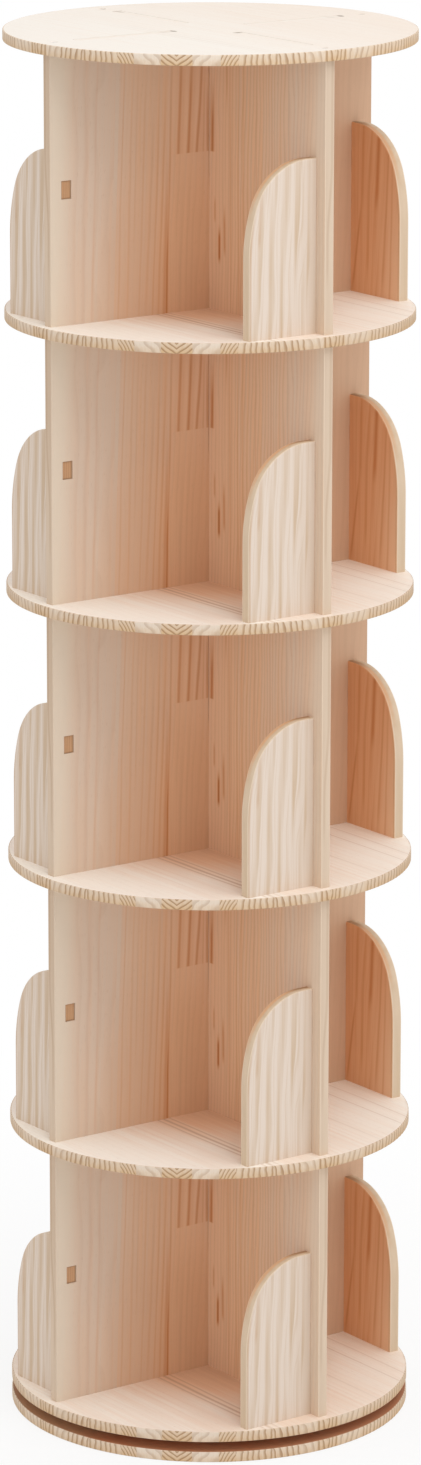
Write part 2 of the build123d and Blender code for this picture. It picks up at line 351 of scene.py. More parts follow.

# Narrow ends of the panels, darker towards the head as painted shade, with a dark line that swings across
# on its way up
PANEL_END = Zone(PANEL_HALF - 0.3, PANEL_HALF - 0.9)
END_RIPPLE = 0.9
END_HEAD_SHADE = Zone(60, 280, 0.25)
SWING = Zone(100, 190, 5.5)
SWING_START = 2.5
SWING_WIDTH = Zone(2.6, 0.4)
SWING_FOOT = Zone(40, 80, 0.45)
END_ARRIS = Zone(PANEL_REACH - 1.0, PANEL_REACH - 0.4)
FACE_ARRIS = Zone(PANEL_HALF - 1.0, PANEL_HALF - 0.4, 0.35)

# Ends of the through tenons, planed with the top board
PLANED = Zone(TOP_FACE - 2, TOP_FACE - 1)
PLANED_TONE = 0.3

# Guards: soft bands that fan out from the head to the foot, with thinner lines between them
BAND_GAP = 14.1
BAND_FAN = 3.1
BAND_SHIFT = 3.0
BAND_PHASE = 0.5
BAND_START = 0.25
BAND_WANDER = 0.9
BAND_DEPTH = 0.55
BAND_RIPPLE = 1.8
BAND_CLOUD = 0.8
THIN_PER_BAND = 2.7
THIN_START = 0.55
THIN_WANDER = 1.5
THIN_DEPTH = 0.35
GUARD_RIPPLE = 0.8
GUARD_FINE = 0.5

# Their faces: darker by the panel as painted shade, with a painted contact shadow by it outside, darker
# and more banded outside on the -X arm, and lighter inside towards the foot of the free side, with a dark
# wedge outside, dark streaks inside and a painted shadow line just inside the outline
OUTER_HALF = Zone(-0.1, 0.1)
SHADE_BY_PANEL = Zone(20, 7, 0.40)
CONTACT_SHADOW = Zone(1.8, 0.3, 0.4)
MINUS_X_ARM = Zone(-120, -180)
MINUS_X_ARM_LINES = 0.35
MINUS_X_ARM_TONE = 0.14
LIGHTER_FREE_SIDE = Zone(35, 88, 0.8)
LIGHTER_FOOT = Zone(190, 40)
LIP_SHADOW = Zone(3.4, 1.8, 0.45)
LIP_FOOT = Zone(170, 90)
WEDGE_WANDER = 3.0
OUTER_WEDGE = Streak(77.4, 96, 170, 3.4, -4.0, 0.40)
INNER_WANDER = 4.0
INNER_STREAKS = (
    Streak(46.0, 90, 230, 5.4, 7.0, 0.85),
    Streak(1.5, -8, 118, 3.0, 20.0, 0.66),
    Streak(20.5, 90, 215, 3.6, 2.0, 0.36),
    Streak(31.0, 10, 190, 3.0, 4.0, 0.34),
    Streak(57.0, -20, 225, 3.2, 16.0, 0.48),
    Streak(70.0, -70, 200, 2.6, 8.0, 0.36),
    Streak(12.0, 60, 240, 2.2, 2.0, 0.26),
)

# Their outline: a wide arc up the free side and a tighter one over the top corner, which meet smoothly
SIDE_RADIUS = 171.0
CORNER_RADIUS = 73.0
SIDE_TURN = math.radians(19)

# Their arched and upright edges: darker and warmer inside on the arch, and painted shade near the top of
# the arch, by the panel
EDGE_TONE = 0.3
EDGE_INNER = Zone(0.2, 0.8)
EDGE_OUTER = Zone(GUARD_THICKNESS - 0.2, GUARD_THICKNESS - 0.8)
EDGE_ARRIS = Zone(1 - 4.0 / GUARD_THICKNESS, 1 - 2.6 / GUARD_THICKNESS, 0.5)
ARCH = Zone(110, 180, 0.7)
ARCH_SIDE = Zone(0.8, -0.8)
WARM_ARCH = Zone(120, 175, 0.5)
WARM_SIDE = Zone(0.15, -0.35)
PANEL_SIDE_SHADE = Zone(36, 12, 0.75)
PANEL_SIDE_SHADE_TOP = Zone(GUARD_HEIGHT - 14, GUARD_HEIGHT - 6)
PANEL_SIDE_SHADE_SIDE = Zone(0.4, -0.4)

# Their tenons, whose end grain shows in the panels
TENON_FOOT = 140.0
TENON_HEAD = 160.0
TENON_END = Zone(-0.1, -0.6)
TENON_LINE_GAP = 2.6
TENON_LINE_START = 0.3
TENON_LINE_DEPTH = 0.6
TENON_BORDER = Zone(1.8, 0.4, 0.55)

# Turntable and screws, with the depth of their relief in millimetres
RING_CIRCLES = Figure(0.35, 60, 60, 2)
RING_CIRCLE_TONE = 0.3
RING_DULLING = Figure(18, 18, 18, 3)
RING_DULLING_TONE = 0.5
RING_POLISH = Polish(metallic=1.0, roughness=0.28, patches=0.2, relief=0.25)
BALL_OIL = Figure(3, 3, 3, 3)
BALL_POLISH = Polish(metallic=1.0, roughness=0.12, patches=0.15, relief=0.1)
SCREW_HANDLING = Figure(1.5, 1.5, 1.5, 3)
SCREW_POLISH = Polish(metallic=1.0, roughness=0.26, patches=0.15, relief=0.1)
CAGE_MOTTLE = Figure(7, 7, 7, 3)
CAGE_SKIN = Figure(0.3, 0.3, 0.3, 1)
CAGE_POLISH = Polish(metallic=0.0, roughness=0.42, patches=0.15, relief=0.2)
PATCHES = Zone(0.35, 0.75)
HARD_RELIEF = 0.05

# Studio, with its sizes in metres. The floor shows a little shadow near the bookcase and is white farther
# off, by a zone in millimetres
WHITE = (1.0, 1.0, 1.0)
FLOOR_HUB = 0.02
FLOOR_REACH = 8.0
FLOOR_LEVEL = -0.0004
FLOOR_RINGS = 24
FLOOR_SPOKES = 96
FLOOR_WHITE_NEAR = 0.82
FLOOR_WHITE_GAIN = Zone(BOARD_RADIUS, 6 * BOARD_RADIUS, 0.18)
LAMP_SIZE = 3.2
LAMP_DISTANCE = 5.0
LAMP_AZIMUTH = math.radians(-4)
LAMP_ELEVATION = math.radians(55)
FARTHEST_SEEN = 60.0

# Width of the camera's sensor, in millimetres
SENSOR_WIDTH = 36.0


class Wire:
    """One output of the nodes, usable in sums: each sum adds a Math node."""

    def __init__(self, finish, socket):
        self.finish = finish
        self.socket = socket

    def __add__(self, other):
        return self.finish.maths("ADD", self, other)

    def __radd__(self, other):
        return self.finish.maths("ADD", other, self)

    def __sub__(self, other):
        return self.finish.maths("SUBTRACT", self, other)

    def __rsub__(self, other):
        return self.finish.maths("SUBTRACT", other, self)

    def __mul__(self, other):
        return self.finish.maths("MULTIPLY", self, other)

    def __rmul__(self, other):
        return self.finish.maths("MULTIPLY", other, self)

    def __truediv__(self, other):
        return self.finish.maths("DIVIDE", self, other)

    def __rtruediv__(self, other):
        return self.finish.maths("DIVIDE", other, self)

    def __mod__(self, other):
        return self.finish.maths("FLOORED_MODULO", self, other)

    def __rmod__(self, other):
        return self.finish.maths("FLOORED_MODULO", other, self)

    def __gt__(self, other):
        return self.finish.maths("GREATER_THAN", self, other)

    def __abs__(self):
        return self.finish.maths("ABSOLUTE", self)


def socket_called(sockets, key):
    """The socket with that number or identifier."""
    if isinstance(key, int):
        return sockets[key]
    for socket in sockets:
        if socket.identifier == key:
            return socket
    raise KeyError(f"no socket {key}")


def rgba(colour):
    """A colour with its alpha; a wire stays as it is."""
    return colour if isinstance(colour, Wire) else (*colour, 1.0)


class Finish:
    """The nodes of one material, or of the world, added one at a time."""

    def __init__(self, tree):
        self.tree = tree
        self.tree.nodes.clear()

    def node(self, kind, settings=None, sockets=None, out=0):
        """Adds a node, sets its settings, then its sockets' values or links, and gives one output."""
        made = self.tree.nodes.new("ShaderNode" + kind)
        for name, value in (settings or {}).items():
            if name == "stops":
                set_stops(made.color_ramp, value)
            else:
                setattr(made, name, value)
        for key, value in (sockets or {}).items():
            socket = socket_called(made.inputs, key)
            if isinstance(value, Wire):
                self.tree.links.new(value.socket, socket)
            else:
                socket.default_value = value
        return Wire(self, socket_called(made.outputs, out) if len(made.outputs) else None)

    def maths(self, operation, *values):
        """A Math node on one or two values."""
        return self.node("Math", {"operation": operation}, dict(enumerate(values)))

    def larger(self, first, second):
        return self.maths("MAXIMUM", first, second)

    def smaller(self, first, second):
        return self.maths("MINIMUM", first, second)

    def length(self, first, second):
        """The length of a line from its two parts, which are square to each other."""
        return self.maths("SQRT", first * first + second * second)

    def place(self):
        """The point's place on the piece, as three values in millimetres."""
        here = self.node("TexCoord", out="Object")
        scaled = self.node("VectorMath", {"operation": "SCALE"}, {0: here, "Scale": 1 / MM})
        parts = self.node("SeparateXYZ", sockets={0: scaled})
        return [Wire(self, socket) for socket in parts.socket.node.outputs]

    def fade(self, value, zone):
        """Goes smoothly from 0 where the zone starts to its strength where it is full."""
        return self.node(
            "MapRange",
            {"interpolation_type": "SMOOTHSTEP"},
            {"Value": value, "From Min": zone.start, "From Max": zone.full, "To Max": zone.strength},
        )

    def steps(self, share, starts, values):
        """A value that steps from one to the next where share passes their starts."""
        low, high = min(values), max(values)
        if low == high:
            return low
        heights = [(value - low) / (high - low) for value in values]
        ramp = self.node("ValToRGB", {"stops": list(zip(starts, heights))}, {"Fac": share})
        return self.node("SeparateColor", sockets={0: ramp}) * (high - low) + low

    def figure(self, across, along, through, sizes):
        """Smooth random figure from 0 to 1, drawn out by its sizes along the grain."""
        place = self.node(
            "CombineXYZ",
            sockets={0: across / sizes.across, 1: along / sizes.along, 2: through / sizes.through},
        )
        return self.node("TexNoise", sockets={"Vector": place, "Scale": 1.0, "Detail": sizes.detail})

    def blend(self, factor, first, second):
        """Mixes two colours."""
        return self.node(
            "Mix",
            {"data_type": "RGBA"},
            {"Factor_Float": factor, "A_Color": rgba(first), "B_Color": rgba(second)},
            "Result_Color",
        )

    def surface(self, sockets, height, strength, depth):
        """Ends a material in a Principled shader, with a relief of that depth in millimetres."""
        bump = self.node("Bump", None, {"Strength": strength, "Distance": depth * MM, "Height": height})
        shader = self.node("BsdfPrincipled", None, {**sockets, "Normal": bump})
        self.node("OutputMaterial", None, {"Surface": shader})


def set_stops(color_ramp, stops):
    """Lays a ramp as steps, from pairs of share and value."""
    color_ramp.interpolation = "CONSTANT"
    elements = color_ramp.elements
    while len(elements) < len(stops):
        elements.new(1.0)
    for element, (share, value) in zip(elements, stops):
        element.position = share
        element.color = (value, value, value, 1.0)


def new_finish(name):
    """A new material, as its nodes to be laid and the material itself."""
    material = bpy.data.materials.new(name)
    material.use_nodes = True
    return Finish(material.node_tree), material


def tier_height(z, level, middle=0.0):
    """Height above a level, less middle, counted anew on every tier."""
    return (z - (level - TIER_MARGIN)) % TIER_PITCH - (middle + TIER_MARGIN)


def lay_staves(f, across, rise, staves, end):
    """Tone, strength and running count of growth lines over staves glued edge to edge.

    Tone, strength, lean and lines per millimetre are steps across the board. The count is
    (across - lean * rise) * lines per millimetre.
    """
    first = staves[0].start
    width = end - first
    share = (across - first) / width
    starts = [(stave.start - first) / width for stave in staves]
    stops = [stave.start for stave in staves[1:]] + [end]
    lines_per_mm = [stave.lines / (stop - stave.start) for stave, stop in zip(staves, stops)]
    tone = f.steps(share, starts, [stave.tone for stave in staves])
    strength = f.steps(share, starts, [stave.strength for stave in staves])
    lean = f.steps(share, starts, [stave.lean for stave in staves])
    closeness = f.steps(share, starts, lines_per_mm)
    return tone, strength, (across - lean * rise) * closeness


def late_wood(f, count, first_share):
    """One line per whole count: it deepens slowly from first_share and ends sharply."""
    saw = f.maths("FRACT", count)
    return f.fade(saw, Zone(first_share, LINE_DARKEST)) * f.fade(saw, LINE_END)


def streak_mask(f, across, along, streak):
    """A streak along the grain that tapers to its foot and head."""
    share = (along - streak.foot) / (streak.head - streak.foot)
    centre = share * streak.lean + streak.across
    off = abs(across - centre) / streak.half_width
    ends = f.fade(share, STREAK_FOOT) * f.fade(share, STREAK_HEAD)
    return f.fade(off, STREAK_SIDE) * ends * streak.strength


def all_streaks(f, across, along, streaks):
    """The darkest of several streaks."""
    dark = streak_mask(f, across, along, streaks[0])
    for streak in streaks[1:]:
        dark = f.larger(dark, streak_mask(f, across, along, streak))
    return dark


def wood_grain(f, across, along, through):
    """The random figures of bare wood, drawn out along the grain. The first four swing about 0."""
    swings = [
        f.figure(across, along, through, sizes) - FIGURE_MIDDLE
        for sizes in (CLOUD, WANDER, RIPPLE, FINE)
    ]
    fibre = f.figure(across, along, through, FIBRE)
    fleck = f.fade(f.figure(across, along, through, FLECK), FLECKS)
    return Grain(*swings, fibre, fleck)


def toned_wood(f, tone, lines, grain, pale, honey, look, figure):
    """Colour of a face: from pale to honey by tone and random figure, with growth lines and flecks."""
    swing = grain.cloud * CLOUD_TONE + grain.ripple * RIPPLE_TONE + grain.fine * FINE_TONE
    shade = tone + swing * figure
    colour = f.blend(shade, pale, honey)
    colour = f.blend(shade - 1, colour, look.panel_amber)
    colour = f.blend(lines, colour, look.late_wood)
    return f.blend(grain.fleck * FLECK_DEPTH, colour, look.late_wood)


def with_painted_shadows(f, colour, x, y, look):
    """The colour with the painted shadows of the top board over it."""
    dark = 0.0
    for smudge in PAINTED_SHADOWS:
        off = f.length((x - smudge.x) / smudge.half_x, (y - smudge.y) / smudge.half_y)
        dark = f.larger(dark, f.fade(off, PAINTED_SHADOW_EDGE) * smudge.strength)
    return f.blend(dark, colour, look.smudge)


def raw_wood(f, colour, lines, grain, look):
    """Bare planed pine: rough, a little smoother on the hard lines, with raised fibres."""
    smoothest = look.roughness - FIBRE_ROUGHNESS / 2
    roughness = grain.fibre * FIBRE_ROUGHNESS - lines * LINE_POLISH + smoothest
    height = grain.fibre * FIBRE_RISE + lines * LINE_RISE - grain.fleck * FLECK_PIT
    sockets = {"Base Color": colour, "Roughness": roughness, "Specular IOR Level": WOOD_REFLECTION}
    f.surface(sockets, height, look.fibre_relief, WOOD_RELIEF)


def board_face(f, here, face, look):
    """Colour and growth lines of a round board's face: staves across X with grain along Y."""
    x, y, z, radius, rise, grain = here
    tone, strength, count = lay_staves(f, x, rise, BOARD_STAVES, BOARD_RADIUS)
    lines = late_wood(f, count + grain.wander * BOARD_LINE_WANDER, BOARD_LINE_START) * strength
    streaks = all_streaks(f, x + grain.wander * BOARD_STREAK_WANDER, y, BOARD_STREAKS)
    lines = f.larger(lines * BOARD_LINE_DEPTH, streaks) * face.figure
    warmth = f.fade(radius, HEART_AND_SHADE) * face.heart + f.fade(x, DRIFT) * face.drift
    warmth = warmth + f.fade(y, FRONT) * face.front + f.fade(z, LOW_TIER_SHADE)
    tone = tone * face.figure + warmth
    colour = toned_wood(f, tone, lines, grain, face.pale, face.honey, look, BOARD_FIGURE)
    # Painted shadow on the outer strip of the base board's faces, in the turntable gap
    if face.outer_strip:
        colour = f.blend(f.fade(radius, OUTER_SHADOW) * face.outer_strip, colour, look.base_shadow)
    if face.smudges:
        colour = with_painted_shadows(f, colour, x, y, look)
    return colour, lines


def with_cuts(f, colour, x, y, look):
    """The colour with the cut ends of the mortises and the walls of the screw holes over it.

    They are darker end grain, partly as painted shade in those recesses.
    """
    far = f.larger(abs(x), abs(y))
    near = f.smaller(abs(x), abs(y))
    at_ends = f.larger(f.fade(abs(far - SLOT_START), SLOT_ENDS), f.fade(abs(far - SLOT_END), SLOT_ENDS))
    in_slot = f.fade(near, SLOT_WIDTH) * at_ends
    in_hole = f.fade(f.length(far - SCREW_CIRCLE, near), SCREW_HOLE)
    return f.blend(f.larger(in_slot, in_hole), colour, look.cut_wall_and_shade)


def board_rim(f, here, face, look):
    """Colour and growth lines of a rim.

    The lines go over X on the quarters that face along Y and over Y on the others, so that they meet in
    a chevron on each diagonal.
    """
    faces_y = abs(here.y) > abs(here.x)
    along = here.y + (here.x - here.y) * faces_y
    tone, strength, count = lay_staves(f, along, here.rise, RIM_STAVES, RIM_REACH)
    wander = f.figure(along, here.rise, here.radius, RIM_WANDER)
    lines = late_wood(f, count + wander * RIM_LINE_WANDER, RIM_LINE_START) * strength
    swing = f.figure(along, here.rise, here.radius, RIM_GRAIN) - FIGURE_MIDDLE
    tone = tone + swing * RIM_GRAIN_TONE + f.fade(here.rise, RIM_FOOT_SHADE)
    colour = f.blend(tone, look.rim_pale, look.rim_honey)
    colour = f.blend(lines * RIM_LINE_DEPTH, colour, look.rim_line)
    colour = f.blend(f.fade(abs(here.rise), RIM_ARRIS), colour, look.worn_edge_and_highlight)
    return f.blend(face.rim_shade, colour, look.rim_line), lines


def round_board_finish(look, name, level, face):
    """Bare pine for a round board whose underside is at that level, or whole tiers above it."""
    f, material = new_finish(name)
    x, y, z = f.place()
    radius = f.length(x, y)
    rise = tier_height(z, level, BOARD_HALF)
    here = BoardPoint(x, y, z, radius, rise, wood_grain(f, x, y, rise))
    colour, lines = board_face(f, here, face, look)
    colour = with_cuts(f, colour, x, y, look)
    rim_colour, rim_lines = board_rim(f, here, face, look)
    on_rim = f.fade(radius, RIM_SKIN)
    colour = f.blend(on_rim, colour, rim_colour)
    lines = lines + (rim_lines - lines) * on_rim
    raw_wood(f, colour, lines, here.grain, look)
    return material


def panel_face(f, across, leaned, height, grain, wood, look):
    """Colour and growth lines of a panel's faces, whose grain leans a little from upright."""
    reach = abs(leaned)
    tone, strength, count = lay_staves(f, leaned, height, wood.staves, PANEL_REACH)
    tone = tone + f.fade(reach, PANEL_HEART_AND_SHADE) * (PANEL_WARMTH - f.fade(height, PANEL_HEAD))
    lines = late_wood(f, count + grain.wander * PANEL_LINE_WANDER, PANEL_LINE_START) * strength
    shown_lines = lines * wood.line_depth
    above_joint = f.fade(height, JOINT)
    fresh = f.fade(reach, wood.fresh)
    if wood.along_x:
        # Painted shade: the foot of the panels along X is warmer and more amber, standing in for light
        # bounced off the shelf
        foot = f.fade(height, FOOT_SHADE) * f.fade(reach, FOOT_SHADE_SIDE)
        tone = tone + above_joint * f.fade(reach, JOINT_SIDE) + foot * FOOT_SHADE_TONE
        fresh = fresh * f.fade(height, PAINTED_LIGHT_HEAD)
    colour = toned_wood(f, tone, shown_lines, grain, look.panel_pale, look.panel_honey, look, wood.figure)
    if wood.along_x:
        # Painted shade: darker low down between the middle and the ends; the +X end is duller
        dull = f.fade(reach, LOW_SHADE_INNER) * f.fade(reach, LOW_SHADE_OUTER) * f.fade(height, LOW_SHADE_FOOT)
        colour = f.blend(foot * FOOT_SHADE_AMBER, colour, look.panel_amber)
        colour = f.blend(dull, colour, look.panel_dull_and_shade)
        colour = f.blend(f.fade(leaned, FAR_END), colour, look.panel_dull_and_shade)
    colour = f.blend(fresh, colour, look.panel_painted_light)
    colour = f.blend(f.fade(leaned, SAPWOOD) * wood.sapwood, colour, look.panel_sap)

    wavering = across + grain.wander * PANEL_STREAK_WANDER
    flames = all_streaks(f, wavering, height, wood.flames) * above_joint
    dark = f.larger(flames, all_streaks(f, wavering, height, wood.streaks))
    colour = f.blend(dark, colour, look.streak)
    return f.blend(f.fade(dark, RESIN), colour, look.resin), lines


def with_panel_ends(f, colour, across, through, height, grain, wood, look):
    """The colour with the narrow ends over it, which show the edge of the outer stave, and their arrises."""
    centre = f.fade(height, SWING) - SWING_START
    dark_line = f.fade(abs(through - centre), SWING_WIDTH) * f.fade(height, SWING_FOOT)
    tone = f.fade(height, END_HEAD_SHADE) + wood.end_tone
    end = f.blend(grain.ripple * END_RIPPLE + dark_line + tone, look.edge_pale, look.edge_shade)
    colour = f.blend(f.fade(abs(through), PANEL_END), colour, end)
    # Arrises of the ends: a dark line on the panels along X, paler as wear and a painted highlight on the
    # others
    arris_line = f.fade(abs(across), END_ARRIS) * f.fade(abs(through), FACE_ARRIS)
    return f.blend(arris_line, colour, look.edge_shade if wood.along_x else look.worn_edge_and_highlight)


def cross_panel_finish(look, name, wood):
    """Bare pine for the cross panels of one direction, with the same figure on every tier."""
    f, material = new_finish(name)
    x, y, z = f.place()
    across, through = (x, y) if wood.along_x else (y, x)
    height = tier_height(z, SHELF_TOP)
    leaned = across - (height - TIER_PITCH / 2) * wood.lean
    grain = wood_grain(f, leaned, height, through)
    colour, lines = panel_face(f, across, leaned, height, grain, wood, look)
    colour = with_panel_ends(f, colour, across, through, height, grain, wood, look)
    planed = f.blend(grain.ripple + PLANED_TONE, look.top_pale, look.top_honey)
    colour = f.blend(f.fade(z, PLANED), colour, with_painted_shadows(f, planed, x, y, look))
    raw_wood(f, colour, lines, grain, look)
    return material


def guard_inset(f, out, height):
    """How far a point of a guard's face lies inside its arched outline.

    Each arc gives its radius less the distance to its centre. The tight arc counts above the line from
    its centre to the point where the arcs meet, and the wide one below, where it runs on straight down to
    the foot.
    """
    corner_x = GUARD_REACH - SIDE_RADIUS + (SIDE_RADIUS - CORNER_RADIUS) * math.cos(SIDE_TURN)
    corner_z = GUARD_HEIGHT - CORNER_RADIUS
    side_z = corner_z - (SIDE_RADIUS - CORNER_RADIUS) * math.sin(SIDE_TURN)
    to_side = SIDE_RADIUS - f.length(out + (SIDE_RADIUS - GUARD_REACH), f.larger(height - side_z, 0.0))
    from_corner = f.length(f.larger(out - corner_x, 0.0), f.larger(height - corner_z, 0.0))
    to_corner = CORNER_RADIUS - from_corner
    above_meeting = height - corner_z - (out - corner_x) * math.tan(SIDE_TURN)
    return to_side + (to_corner - to_side) * (above_meeting > 0.0)


def guard_bands(f, here):
    """Soft bands that fan out towards the foot, and thinner lines.

    The bands' count is (out - shift * fan) / (gap + spread * fan), where fan grows from 0 at the head to
    1 at the foot on the outer face and to -1 on the inner face.
    """
    grain = here.grain
    fan = (1 - here.height / GUARD_HEIGHT) * here.side
    count = (here.out - fan * BAND_SHIFT) / (fan * BAND_FAN + BAND_GAP) + grain.wander * BAND_WANDER
    depth = BAND_DEPTH + grain.ripple * BAND_RIPPLE + grain.cloud * BAND_CLOUD
    bands = late_wood(f, BAND_PHASE - count, BAND_START) * depth
    thin = late_wood(f, count * THIN_PER_BAND + grain.wander * THIN_WANDER, THIN_START) * THIN_DEPTH
    return f.larger(bands, thin)


def guard_outside(f, here, lines, shade, look):
    """Colour of a guard's outer face: pale, with a dark wedge, and a painted contact shadow by the panel."""
    on_minus_x_arm = f.fade(here.x, MINUS_X_ARM) * (lines * MINUS_X_ARM_LINES + MINUS_X_ARM_TONE)
    colour = f.blend(shade + on_minus_x_arm, look.guard_pale, look.guard_band)
    wedge = streak_mask(f, here.out + here.grain.wander * WEDGE_WANDER, here.height, OUTER_WEDGE)
    return f.blend(f.larger(wedge, f.fade(here.out, CONTACT_SHADOW)), colour, look.guard_wedge_and_shade)


def guard_inside(f, here, shade, look):
    """Colour of a guard's inner face: warm, partly as painted shade of the compartment, with dark streaks.
    """
    colour = f.blend(shade + f.fade(here.z, LOW_TIER_SHADE), look.guard_inside, look.guard_inside_band)
    lighter_part = f.fade(here.out, LIGHTER_FREE_SIDE) * f.fade(here.height, LIGHTER_FOOT)
    colour = f.blend(lighter_part, colour, look.guard_inside_pale)
    dark = all_streaks(f, here.out + here.grain.wander * INNER_WANDER, here.height, INNER_STREAKS)
    return f.blend(dark, colour, look.guard_inside_streak)


def with_guard_edges(f, colour, here, look):
    """The colour with the arched and upright edges over it, and their arrises.

    The arrises are paler, as wear and a painted highlight.
    """
    on_edge = f.fade(here.through, EDGE_INNER) * f.fade(here.through, EDGE_OUTER)
    arris_line = on_edge * f.fade(abs(here.side), EDGE_ARRIS)
    arch = f.fade(here.height, ARCH) * f.fade(here.side, ARCH_SIDE)
    edge = f.blend(here.grain.ripple + arch + EDGE_TONE, look.guard_edge, look.guard_edge_shade)
    edge = f.blend(arris_line, edge, look.worn_edge_and_highlight)
    warm = f.fade(here.height, WARM_ARCH) * f.fade(here.side, WARM_SIDE)
    edge = f.blend(warm, edge, look.guard_inside_band)
    panel_side_shade = f.fade(here.out, PANEL_SIDE_SHADE) * f.fade(here.height, PANEL_SIDE_SHADE_TOP)
    edge = f.blend(panel_side_shade * f.fade(here.side, PANEL_SIDE_SHADE_SIDE), edge, look.cut_wall_and_shade)
    return f.blend(on_edge, colour, edge)


def with_guard_tenon(f, colour, here, look):
    """The colour with the tenon's end grain over it, darker along its border."""
    lines = late_wood(f, here.through / TENON_LINE_GAP + here.grain.wander, TENON_LINE_START)
    tenon = f.blend(lines * TENON_LINE_DEPTH, look.end_grain, look.late_wood)
    from_sides = f.smaller(here.through, GUARD_THICKNESS - here.through)
    from_ends = f.smaller(here.height - TENON_FOOT, TENON_HEAD - here.height)
    tenon = f.blend(f.fade(f.smaller(from_sides, from_ends), TENON_BORDER), tenon, look.cut_wall_and_shade)
    return f.blend(f.fade(here.out, TENON_END), colour, tenon)


def guard_finish(look, name):
    """Bare pine for the guards: pale outside, and warm inside, partly as painted shade."""
    f, material = new_finish(name)
    x, y, z = f.place()
    out = f.smaller(abs(x), abs(y)) - PANEL_HALF
    through = f.larger(abs(x), abs(y)) - GUARD_INNER
    side = through * (2 / GUARD_THICKNESS) - 1
    height = tier_height(z, SHELF_TOP)
    grain = wood_grain(f, out, height, through)
    here = GuardPoint(x, z, out, through, side, height, grain)
    lines = guard_bands(f, here)
    shade = f.larger(lines, f.fade(out, SHADE_BY_PANEL)) + grain.ripple * GUARD_RIPPLE + grain.fine * GUARD_FINE
    inside = guard_inside(f, here, shade, look)
    outside = guard_outside(f, here, lines, shade, look)
    colour = f.blend(f.fade(side, OUTER_HALF), inside, outside)
    # Painted shadow of the arris, just inside the arched outline
    lip = f.fade(guard_inset(f, out, height), LIP_SHADOW) * f.fade(height, LIP_FOOT)
    colour = f.blend(lip, colour, look.guard_wedge_and_shade)
    colour = with_guard_edges(f, colour, here, look)
    colour = with_guard_tenon(f, colour, here, look)
    raw_wood(f, colour, lines, grain, look)
    return material


def dowel_finish(look, name):
    """Beech: pinkish brown with short dark flecks."""
    f, material = new_finish(name)
    x, y, z = f.place()
    grain = wood_grain(f, x, z, y)
    colour = f.blend(grain.fibre, look.beech, look.late_wood)
    colour = f.blend(grain.fleck * DOWEL_FLECKS, colour, look.resin)
    raw_wood(f, colour, grain.fibre, grain, look)
    return material


def hard_surface(f, colour, patches, height, polish):
    """Metal or plastic, rougher in its patches, with a slight relief."""
    roughness = patches * polish.patches + polish.roughness
    sockets = {"Base Color": colour, "Metallic": polish.metallic, "Roughness": roughness}
    f.surface(sockets, height, polish.relief, HARD_RELIEF)


def ring_finish(look, name):
    """Turned aluminium: fine circles about the turning axis."""
    f, material = new_finish(name)
    x, y, z = f.place()
    circles = f.figure(f.length(x, y), z, z, RING_CIRCLES)
    dulling = f.figure(x, y, z, RING_DULLING)
    tone = dulling * RING_DULLING_TONE + circles * RING_CIRCLE_TONE
    colour = f.blend(tone, look.aluminium, look.aluminium_dull)
    hard_surface(f, colour, dulling, circles, RING_POLISH)
    return material


def polished_finish(name, bright, dull, figure, polish):
    """Metal with patches of a duller and rougher tone."""
    f, material = new_finish(name)
    x, y, z = f.place()
    patches = f.fade(f.figure(x, y, z, figure), PATCHES)
    colour = f.blend(patches, bright, dull)
    hard_surface(f, colour, patches, patches, polish)
    return material


def cage_finish(look, name):
    """Moulded nylon, slightly mottled, with a fine grained skin."""
    f, material = new_finish(name)
    x, y, z = f.place()
    mottle = f.figure(x, y, z, CAGE_MOTTLE)
    skin = f.figure(x, y, z, CAGE_SKIN)
    colour = f.blend(mottle, look.nylon, look.nylon_shade)
    hard_surface(f, colour, mottle, skin, CAGE_POLISH)
    return material


def dress(names, material):
    """Gives the named nodes of the frame that material."""
    for name in names:
        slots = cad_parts[name].material_slots
        if len(slots) != 1:
            raise RuntimeError(f"{name} has {len(slots)} material slots")
        slots[0].material = material


def colour_property(name, description, default):
    return FloatVectorProperty(
        name=name, description=description, default=default, subtype="COLOR", size=3, min=0.0, max=1.0
    )


def share_property(name, description, default):
    return FloatProperty(
        name=name, description=description, default=default, subtype="FACTOR", min=0.0, max=1.0
    )


def angle_property(name, description, degrees):
    return FloatProperty(
        name=name, description=description, default=math.radians(degrees), subtype="ANGLE"
    )


